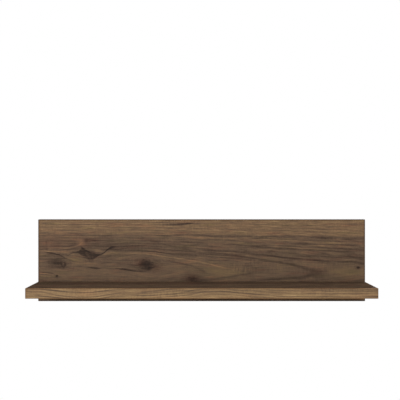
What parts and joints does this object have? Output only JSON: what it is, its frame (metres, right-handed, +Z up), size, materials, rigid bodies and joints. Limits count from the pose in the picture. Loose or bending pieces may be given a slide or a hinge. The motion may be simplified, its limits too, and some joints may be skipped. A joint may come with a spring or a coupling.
{
  "type": "wall shelf",
  "caption": "Wall shelf in dark walnut grain: a shelf board butted against a low back panel, hung by keyhole plates let into the panel's back.",
  "frame": {"origin": "on the wall plane (the panel's rear face), midway between the seats of the two wall screws", "axes": "+X along the shelf, to the right for someone facing it; +Y into the wall; +Z up"},
  "size_m": [0.6, 0.168, 0.15],
  "materials": {
    "decor_board": "satin walnut-grain melamine on chipboard",
    "edge_band": "satin walnut-grain edge band",
    "zinc_steel": "zinc plated",
    "beech": "plain turned beech"
  },
  "bodies": {
    "root": {"back_panel": "decor_board", "shelf_board": "decor_board", "panel_band_top": "edge_band", "panel_band_bottom": "edge_band", "panel_band_left": "edge_band", "panel_band_right": "edge_band", "shelf_band_front": "edge_band", "shelf_band_left": "edge_band", "shelf_band_right": "edge_band", "shelf_screw_left": "zinc_steel", "shelf_screw_centre": "zinc_steel", "shelf_screw_right": "zinc_steel", "keyhole_plate_left": "zinc_steel", "keyhole_plate_right": "zinc_steel", "plate_screw_left_upper": "zinc_steel", "plate_screw_left_lower": "zinc_steel", "plate_screw_right_upper": "zinc_steel", "plate_screw_right_lower": "zinc_steel", "dowel_left": "beech", "dowel_right": "beech"}
  },
  "joints": []
}
